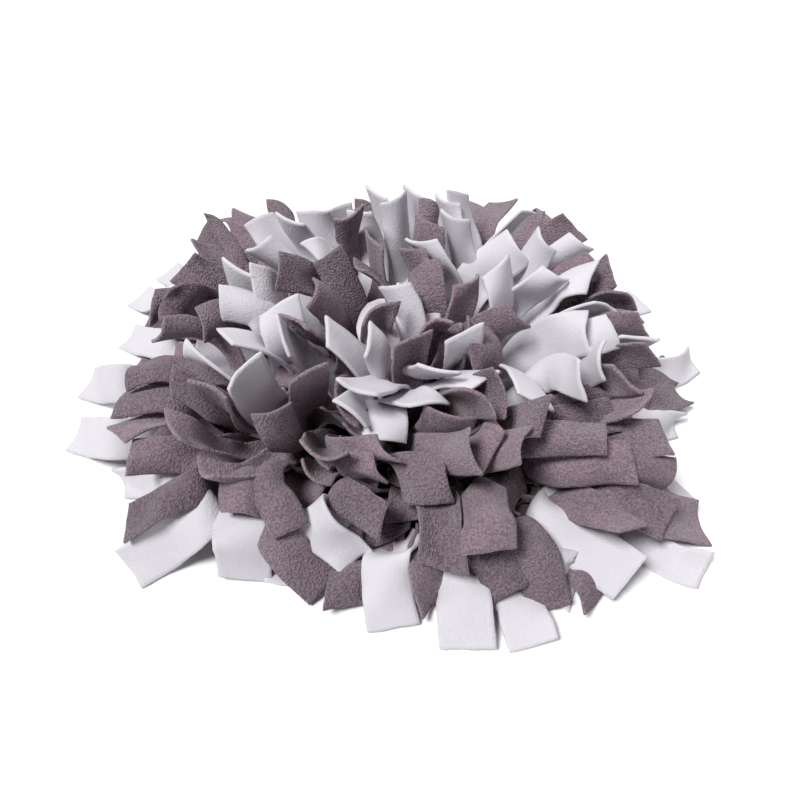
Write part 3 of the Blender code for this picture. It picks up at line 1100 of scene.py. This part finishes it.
def settle(strips):
    """Opens the strips to their width and lays them on each other. Returns every strip's grid of points."""
    start = gathered(strips, "start")
    own = gathered(strips, "own")
    seen = gathered(strips, "seen")[:, None] * smooth(np.linspace(*KEEP_RAMP, ALONG))
    tuck = np.repeat(gathered(strips, "tuck"), ACROSS)
    step_along = gathered(strips, "length")[:, None] / (ALONG - 1)
    step_across = gathered(strips, "width")[:, None] / (ACROSS - 1)
    free = np.ones(ALONG)
    free[:PINNED] = 0.0
    all_free = np.broadcast_to(free[None, :, None], start.shape[:-1]).reshape(-1).copy()
    owner = np.repeat(np.arange(len(strips)), ALONG * ACROSS)
    links = link_sets()
    fair_along, fair_across = fairing()
    own_gaps = [distances(own, first, second) for _, first, second in links]
    grid = start.copy()
    flat = grid.reshape(-1, 3)
    order = view_order(strips)
    pairs = None
    for step in range(STEPS):
        opened = float(smooth(step / OPEN_STEPS))
        width = mix(NARROW, 1.0, opened)
        aim = start + (own - start) * opened
        phase = (step >= OPEN_STEPS) + (step >= LAST_STEPS)
        keep = KEEP[phase] + (KEEP_SEEN[phase] - KEEP[phase]) * seen
        keep = np.where(free[None] == 0, 1.0, keep)
        grid += (aim - grid) * keep[..., None, None]
        grid[:, PINNED:, :, 2] -= SINK if step < LAST_STEPS else 0.0
        if step % LIST_EVERY == 0:
            pairs = close_pairs(flat, owner, LIST_REACH)
        slanting = np.sqrt(step_along**2 + (step_across * width) ** 2)
        rests = {"along": step_along, "across": step_across * width, "shear": slanting}
        for _ in range(PASSES):
            hold_links(grid, free, links, own_gaps, rests, width)
            push_apart(flat, all_free, *pairs)
            keep_order(flat, all_free, owner, order)
            keep_in_pile(flat, all_free, tuck)
        fair = np.einsum("av,nvuc,bu->nabc", fair_along, grid, fair_across)
        grid[:, PINNED:] += (fair - grid)[:, PINNED:] * (STIFF if step < STEPS - 1 else LAST_STIFF)
    grid[:, PINNED:, :, 2] = np.maximum(grid[:, PINNED:, :, 2], FLOOR_CENTRE)
    return grid


# ---- meshes


SPLINE_ALONG = spline_rows(ALONG, FINE_ALONG + 1)
SPLINE_ACROSS = spline_rows(ACROSS, FINE_ACROSS + 1)


def edge_loop():
    """The grid places round a strip's edge, in order, once."""
    loop = [(v, 0) for v in range(FINE_ALONG)]
    loop += [(FINE_ALONG, u) for u in range(FINE_ACROSS)]
    loop += [(v, FINE_ACROSS) for v in range(FINE_ALONG, 0, -1)]
    loop += [(0, u) for u in range(FINE_ACROSS, 0, -1)]
    return np.array(loop)


EDGE = edge_loop()


def strip_mesh(strip, grid, dice):
    """One strip's closed mesh: two faces of cloth, and a soft cut edge between them."""
    fine = np.einsum("av,vuc->auc", SPLINE_ALONG, grid)
    fine = np.einsum("bu,auc->abc", SPLINE_ACROSS, fine)
    run = np.gradient(fine, axis=0)
    across = np.gradient(fine, axis=1)
    normal = unit(np.cross(run, across))
    # The tip's slanted cut, and the cut edges' unevenness.
    spread = np.linspace(-1, 1, FINE_ACROSS + 1)
    near_tip = smooth((np.linspace(0, 1, FINE_ALONG + 1) - 1 + SLANT_LENGTH) / SLANT_LENGTH)
    slant = strip["cut"] * strip["width"] / 2
    fine = fine + unit(run) * (near_tip[:, None] * spread[None, :] * slant)[..., None]
    rag = np.convolve(dice.normal(0, 1, len(EDGE) + len(RAGGED_BLEND) - 1), RAGGED_BLEND, "valid") * RAGGED
    ev, eu = EDGE[:, 0], EDGE[:, 1]
    outward = unit(across)[ev, eu] * np.where(eu == 0, -1, np.where(eu == FINE_ACROSS, 1, 0))[:, None]
    outward += unit(run)[ev, eu] * np.where(ev == FINE_ALONG, 1, np.where(ev == 0, -1, 0))[:, None]
    outward = unit(outward)
    fine[ev, eu] += outward * rag[:, None]
    top = fine + normal * CLOTH_THICK / 2
    bottom = fine - normal * CLOTH_THICK / 2
    rim = fine[ev, eu] + outward * CLOTH_THICK * EDGE_ROUND
    verts = np.concatenate([top.reshape(-1, 3), bottom.reshape(-1, 3), rim])
    verts[:, 2] = np.maximum(verts[:, 2], ABOVE_FLOOR)
    return verts


def strip_faces():
    wide = FINE_ACROSS + 1
    per_side = (FINE_ALONG + 1) * wide
    v, u = np.meshgrid(np.arange(FINE_ALONG), np.arange(FINE_ACROSS), indexing="ij")
    a = (v * wide + u).ravel()
    top = np.stack([a, a + wide, a + wide + 1, a + 1], 1)
    bottom = top[:, ::-1] + per_side
    ring = EDGE[:, 0] * wide + EDGE[:, 1]
    nxt = np.roll(ring, -1)
    mid = 2 * per_side + np.arange(len(EDGE))
    mid_next = np.roll(mid, -1)
    upper = np.stack([ring, mid, mid_next, nxt], 1)
    lower = np.stack([mid, ring + per_side, nxt + per_side, mid_next], 1)
    return np.concatenate([top, bottom, upper, lower])


STRIP_FACES = strip_faces()


def band_mesh(half, first, last, steps):
    """The narrow band that a row's roots are sewn into, as one tube along this run of the row's path."""
    points = []
    for share in np.linspace(first, last, steps + 1):
        point, out = on_path(half, share)
        for side, height in ((-1, BAND_FOOT), (1, BAND_FOOT), (1, BAND_TOP), (-1, BAND_TOP)):
            points.append((*(point + out * side * BAND_THICK / 2), height))
    ring = np.arange(4)
    sides = np.stack([ring, (ring + 1) % 4, (ring + 1) % 4 + 4, ring + 4], 1)
    faces = [sides + 4 * step for step in range(steps)]
    faces.append(ring[None, ::-1])
    faces.append(ring[None] + 4 * steps)
    return np.array(points), np.concatenate(faces)


def new_mesh(name, verts, faces):
    """A mesh of four-sided faces."""
    mesh = bpy.data.meshes.new(name)
    mesh.vertices.add(len(verts))
    mesh.vertices.foreach_set("co", verts.astype(np.float32).ravel())
    mesh.loops.add(faces.size)
    mesh.loops.foreach_set("vertex_index", faces.astype(np.int32).ravel())
    mesh.polygons.add(len(faces))
    mesh.polygons.foreach_set("loop_start", np.arange(0, faces.size, 4, dtype=np.int32))
    mesh.update(calc_edges=True)
    mesh.validate()
    return mesh


def add_piece(node, members, first, last, colour, material):
    """One node's piece: its strips, and its band from one share of the path to another, in one mesh.

    Its points also say which strip's tint they have, whether they are on the face with the pebbled nap, and
    whether they are on a cut edge, where the fleece gets a painted highlight.
    """
    name = "strips_" + node
    verts, faces, tints, naps, highlight_edges = [], [], [], [], []
    base = 0
    dice = np.random.default_rng(SEED * 1000 + len(name) * 10 + sum(map(ord, name)))
    for strip, grid in members:
        points = strip_mesh(strip, grid, dice)
        verts.append(points)
        faces.append(STRIP_FACES + base)
        base += len(points)
        tints.append(np.full(len(points), strip["tint"]))
        # The cut edges are marked for the material's painted highlight.
        highlight_edges.append(np.arange(len(points)) >= len(points) - len(EDGE))
        side = np.zeros(len(points))
        side[: (FINE_ALONG + 1) * (FINE_ACROSS + 1)] = 1
        naps.append(side if strip["nap"] < NAP_UP else 1 - side)
    row = members[0][0]["row"]
    points, band_faces = band_mesh(row.half * MM, first, last, BAND_STEPS * len(members))
    verts.append(points)
    faces.append(band_faces + base)
    for values in (tints, naps, highlight_edges):
        values.append(np.zeros(len(points)))
    mesh = new_mesh(name, np.concatenate(verts), np.concatenate(faces))
    for label, values in (("tint", tints), ("nap", naps), ("edge", highlight_edges)):
        layer = mesh.attributes.new(label, "FLOAT", "POINT")
        layer.data.foreach_set("value", np.concatenate(values).astype(np.float32))
    mesh.shade_smooth()
    mesh.materials.append(material)
    piece = bpy.data.objects.new(name, mesh)
    bpy.context.scene.collection.objects.link(piece)
    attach(piece, "root")
    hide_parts(node)
    return piece


# ---- materials


def scaled(tree, place, value, factor, added, **settings):
    """A value times a factor, with another added to it."""
    inputs = {0: value, 1: factor, 2: added}
    return add_node(tree, "Math", place, inputs, operation="MULTIPLY_ADD", **settings).outputs[0]


def read_attribute(tree, name, place):
    return add_node(tree, "Attribute", place, {}, attribute_name=name).outputs["Fac"]


def colour_and_relief(tree, shader, share, colours, bump):
    """Gives a shader the colour at this share between two, and a relief."""
    colour = add_node(tree, "Mix", (-250, 200), {"Factor": share, **colours}, data_type="RGBA")
    relief = add_node(tree, "Bump", (-250, -200), bump)
    set_inputs(shader, {"Base Color": colour.outputs["Result"], "Normal": relief.outputs["Normal"]})


def fleece_material(name):
    """Brushed fleece: pebbles of nap a millimetre wide, finer fibres on them, and a soft sheen."""
    look = FLEECE[name]
    material, tree, shader = new_material("fleece_" + name)
    set_inputs(shader, {**FLEECE_SHADER, "Sheen Weight": look.sheen})
    where = {"Vector": add_node(tree, "TexCoord", (-1400, 0), {}).outputs["Object"]}
    pebbles = add_node(tree, "TexVoronoi", (-1100, 0), {**where, **PEBBLES}).outputs["Distance"]
    fibres = add_node(tree, "TexNoise", (-1100, -300), {**where, **FIBRES}).outputs["Fac"]
    patches = add_node(tree, "TexNoise", (-1100, 300), {**where, **PATCHES}).outputs["Fac"]
    nap = read_attribute(tree, "nap", (-1400, -400))
    tint = read_attribute(tree, "tint", (-1400, 300))
    edge = read_attribute(tree, "edge", (-850, 700))
    # Colour: dark between the pebbles, light on them, a painted highlight on cut edges, uneven by patch and
    # by strip.
    grain = scaled(tree, (-950, 0), pebbles, PEBBLE_DEPTH, fibres)
    range_in = {"Value": grain, "From Min": GRAIN_RANGE[0], "From Max": GRAIN_RANGE[1]}
    range_out = {"To Min": 0.5 - look.pebble / 2, "To Max": 0.5 + look.pebble / 2}
    level = add_node(tree, "MapRange", (-850, 0), {**range_in, **range_out}).outputs["Result"]
    # Painted highlight: the cut edges are painted lighter, standing in for the nap catching the light.
    with_painted_edge_highlight = scaled(tree, (-650, 700), edge, EDGE_PAINTED_HIGHLIGHT, level)
    by_patch = scaled(tree, (-850, 300), patches, TINT_PLAY, -TINT_PLAY / 2)
    by_strip = scaled(tree, (-850, 500), tint, TINT_PLAY, -TINT_PLAY / 2)
    both = scaled(tree, (-650, 300), by_patch, 1, by_strip)
    total = scaled(tree, (-450, 200), both, 1, with_painted_edge_highlight, use_clamp=True)
    # Relief: the pebbled face shows them more than the smooth one.
    face = {"Value": nap, "To Min": SMOOTH_FACE, "To Max": 1.0}
    strength = add_node(tree, "MapRange", (-650, -350), face).outputs["Result"]
    bump = {"Distance": look.relief, "Strength": strength, "Height": grain}
    colour_and_relief(tree, shader, total, {"A": look.dark, "B": look.light}, bump)
    return material


def felt_material():
    """Matted felt: a fine uneven grain without a sheen."""
    material, tree, shader = new_material("felt")
    set_inputs(shader, {"Roughness": 1.0})
    where = add_node(tree, "TexCoord", (-900, 0), {}).outputs["Object"]
    noise = add_node(tree, "TexNoise", (-700, 0), {"Vector": where, **FELT_GRAIN}).outputs["Fac"]
    colour_and_relief(tree, shader, noise, FELT_COLOURS, {"Distance": FELT_RELIEF, "Height": noise})
    return material


def dress_base():
    """The felt base keeps its own solid's shape and gets a matted felt finish."""
    base = bpy.data.objects["base"]
    base.data.materials.clear()
    base.data.materials.append(felt_material())


def add_row(row, members, materials):
    """The pieces of a row: one, or its front and the rest where the front has a colour of its own."""
    if row.colour == row.front_colour:
        return [add_piece(row.name, members, 0.0, 1.0, row.colour, materials[row.colour])]
    front = [member for member in members if in_front(member[0]["root"])]
    others = [member for member in members if not in_front(member[0]["root"])]
    first, last = front[0][0]["share"], front[-1][0]["share"]
    step = 1 / row.count
    runs = (
        (row.name + "_front", front, first, last, row.front_colour),
        (row.name, others, last + step, first - step + 1, row.colour),
    )
    return [add_piece(*run, materials[run[-1]]) for run in runs]


def main():
    add_camera()
    add_studio()
    strips = make_strips()
    place_tails(strips)
    grids = settle(strips)
    materials = {name: fleece_material(name) for name in FLEECE}
    pieces = []
    for row in ROWS:
        members = [(strip, grid) for strip, grid in zip(strips, grids) if strip["row"] is row]
        pieces += add_row(row, members, materials)
    dress_base()


main()
